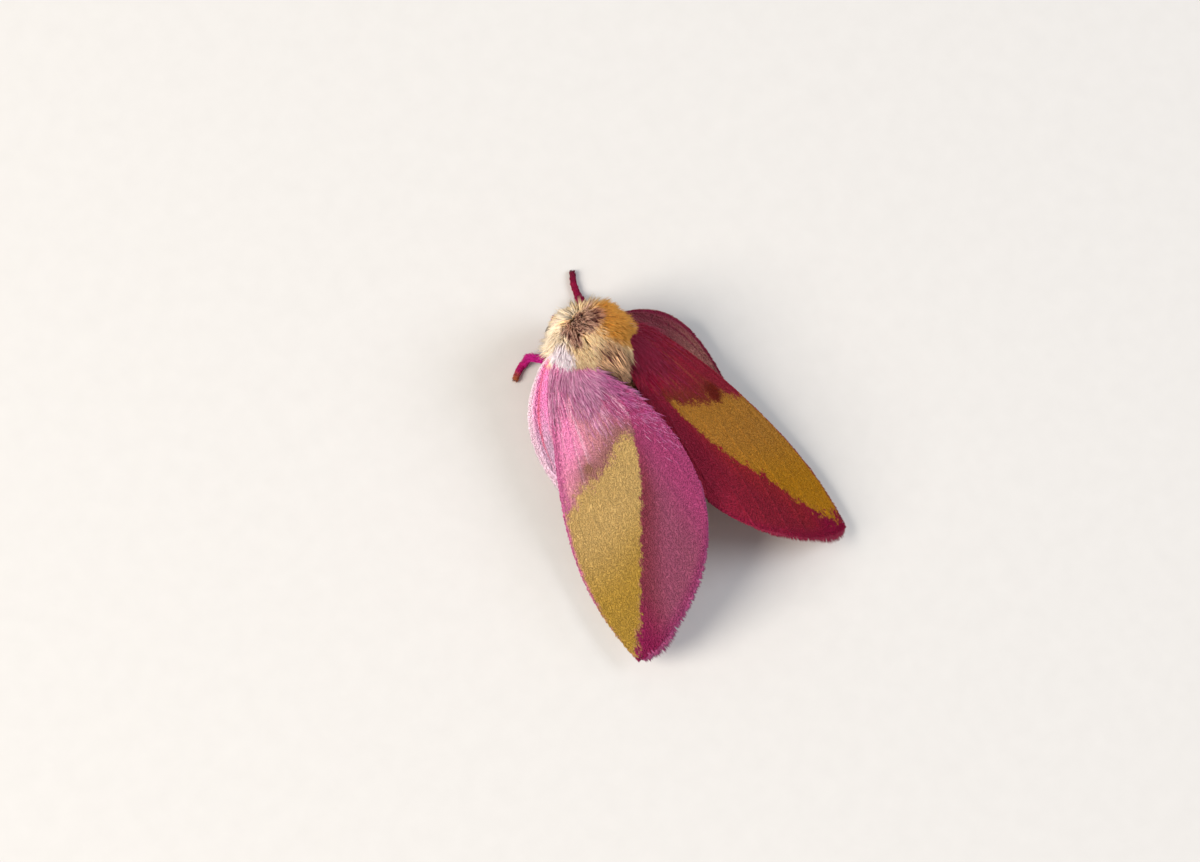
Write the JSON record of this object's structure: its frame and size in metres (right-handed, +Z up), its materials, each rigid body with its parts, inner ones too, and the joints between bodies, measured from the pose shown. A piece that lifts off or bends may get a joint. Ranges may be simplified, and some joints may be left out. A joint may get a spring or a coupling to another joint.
{
  "type": "rosy maple moth",
  "caption": "Still life-size model of a rosy maple moth at rest, with a woolly yellow thorax and pink and yellow wings folded like a roof.",
  "frame": {"origin": "middle of the bounding box's underside, on the floor the moth stands on", "axes": "head towards -Y, the moth's own left side towards +X, +Z up"},
  "size_m": [0.0172, 0.0242, 0.0078],
  "materials": {
    "yellow_wool": "dense matt wool of hair scales, orange-yellow",
    "rose_scales": "matt overlapping scales, rose with a yellow band",
    "pale_rose_scales": "matt overlapping scales, pale rose",
    "leg_rose": "short close hair scales, deep rose",
    "eye_dark": "glossy, faceted, near black",
    "feeler_rose": "fine ringed, dull rose"
  },
  "bodies": {
    "root": {"head": "yellow_wool", "thorax": "yellow_wool", "abdomen": "yellow_wool", "eye_left": "eye_dark", "eye_right": "eye_dark", "antenna_left": "feeler_rose", "antenna_right": "feeler_rose", "forewing_left": "rose_scales", "forewing_right": "rose_scales", "hindwing_left": "pale_rose_scales", "hindwing_right": "pale_rose_scales", "leg_front_left": "leg_rose", "leg_front_right": "leg_rose", "leg_middle_left": "leg_rose", "leg_middle_right": "leg_rose", "leg_hind_left": "leg_rose", "leg_hind_right": "leg_rose"}
  },
  "joints": []
}
